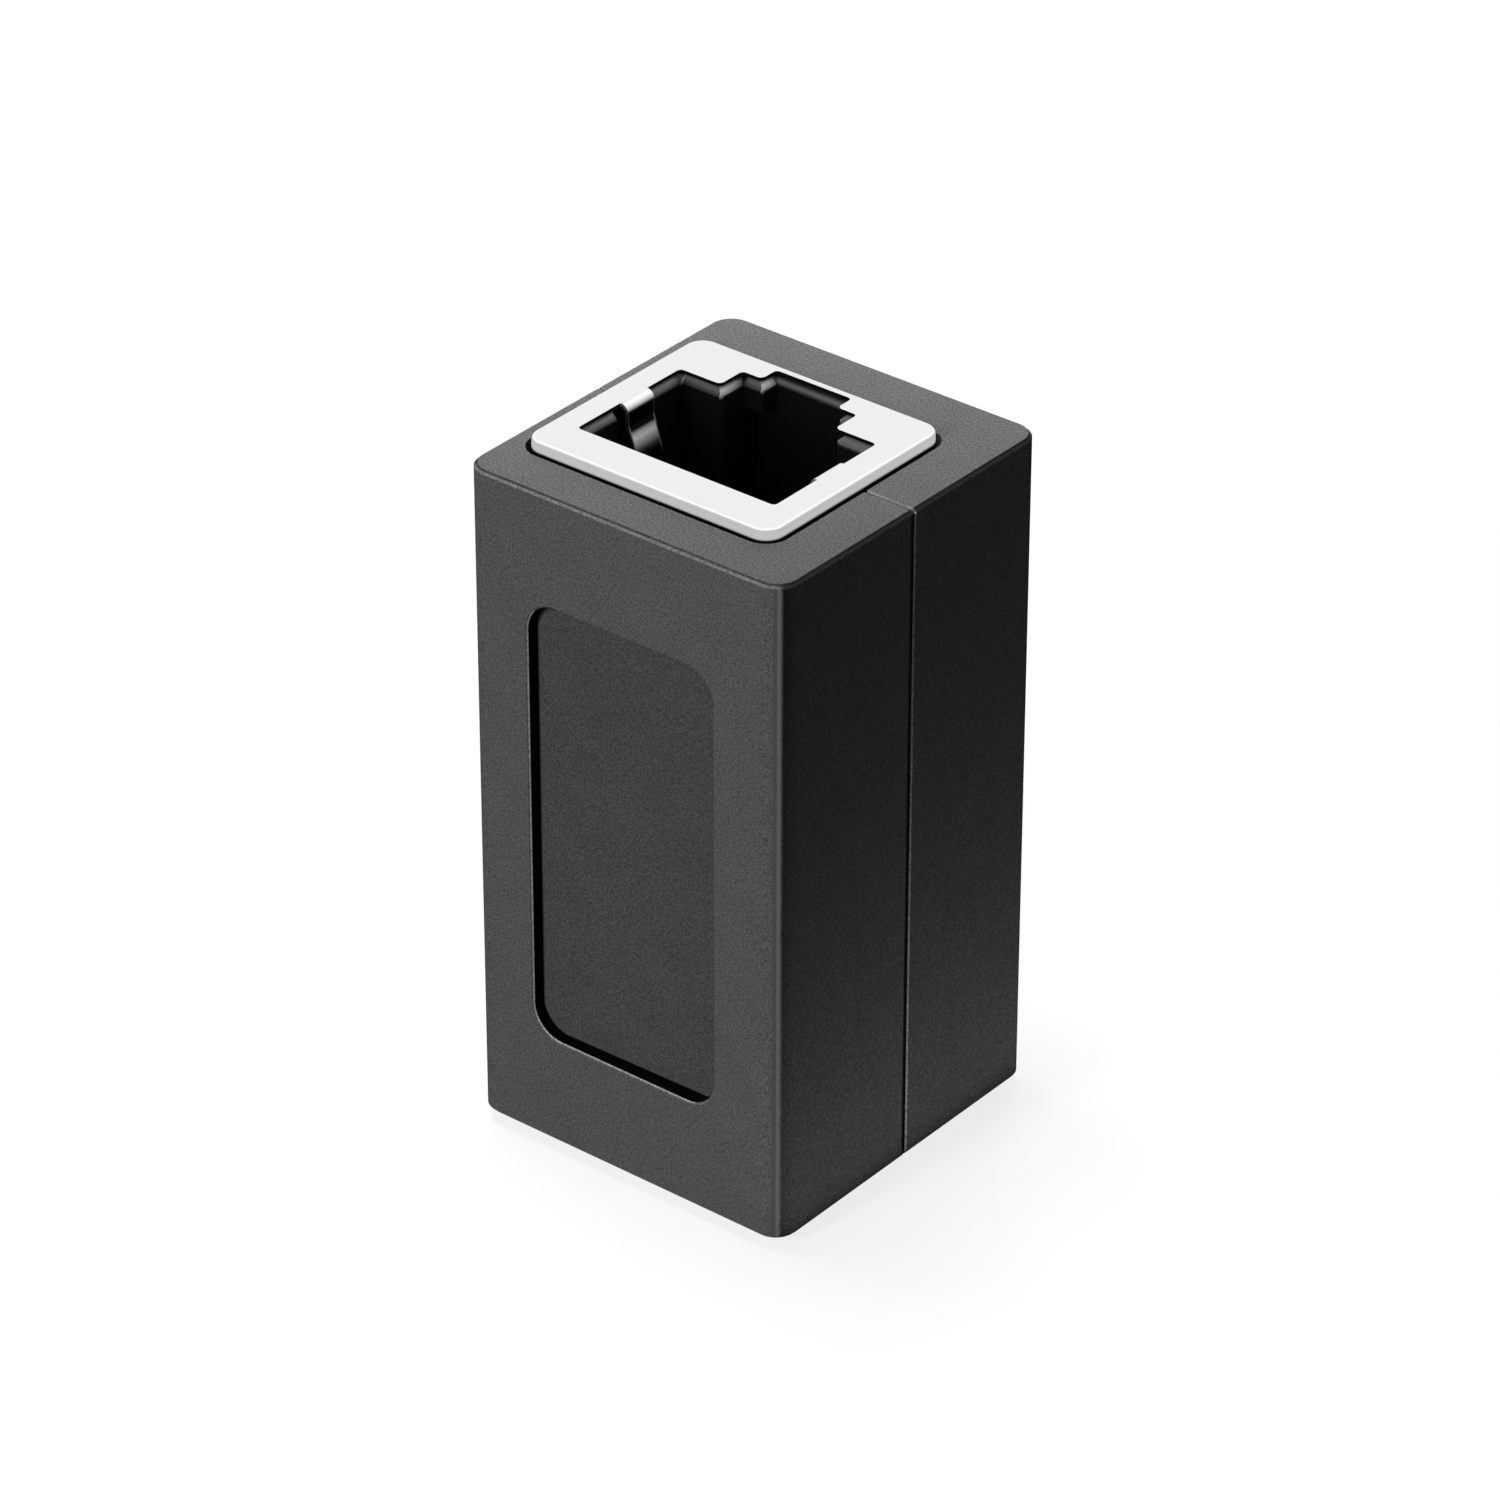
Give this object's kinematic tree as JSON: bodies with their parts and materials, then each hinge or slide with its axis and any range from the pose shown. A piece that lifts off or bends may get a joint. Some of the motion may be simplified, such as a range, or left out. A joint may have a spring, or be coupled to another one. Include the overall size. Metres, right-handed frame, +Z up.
{
  "type": "rj45 inline coupler",
  "caption": "Shielded inline coupler that joins two modular network plugs end to end, in a black two-part housing with a bare label recess.",
  "frame": {"origin": "middle of the housing's plan, at the face of the lower shield, which the part stands on", "axes": "+Z up, along the plugs' way in; +Y from the label face to the latch side; +X to the right as the label face is looked at"},
  "size_m": [0.0196, 0.02, 0.038],
  "materials": {
    "housing": "black ABS with a fine spark texture",
    "shield": "bright nickel plate on thin sheet",
    "insert": "black glass-filled PBT, smooth",
    "carrier": "black glass-filled PBT, smooth",
    "contact": "phosphor bronze with gold flash",
    "board": "glass epoxy with green solder mask"
  },
  "bodies": {
    "root": {"front_shell": "housing", "rear_shell": "housing", "upper_shield": "shield", "lower_shield": "shield", "upper_jack_body": "insert", "lower_jack_body": "insert", "upper_contact_carrier": "carrier", "lower_contact_carrier": "carrier", "circuit_board": "board", "upper_contact_1": "contact", "upper_contact_2": "contact", "upper_contact_3": "contact", "upper_contact_4": "contact", "upper_contact_5": "contact", "upper_contact_6": "contact", "upper_contact_7": "contact", "upper_contact_8": "contact", "lower_contact_1": "contact", "lower_contact_2": "contact", "lower_contact_3": "contact", "lower_contact_4": "contact", "lower_contact_5": "contact", "lower_contact_6": "contact", "lower_contact_7": "contact", "lower_contact_8": "contact"}
  },
  "joints": []
}
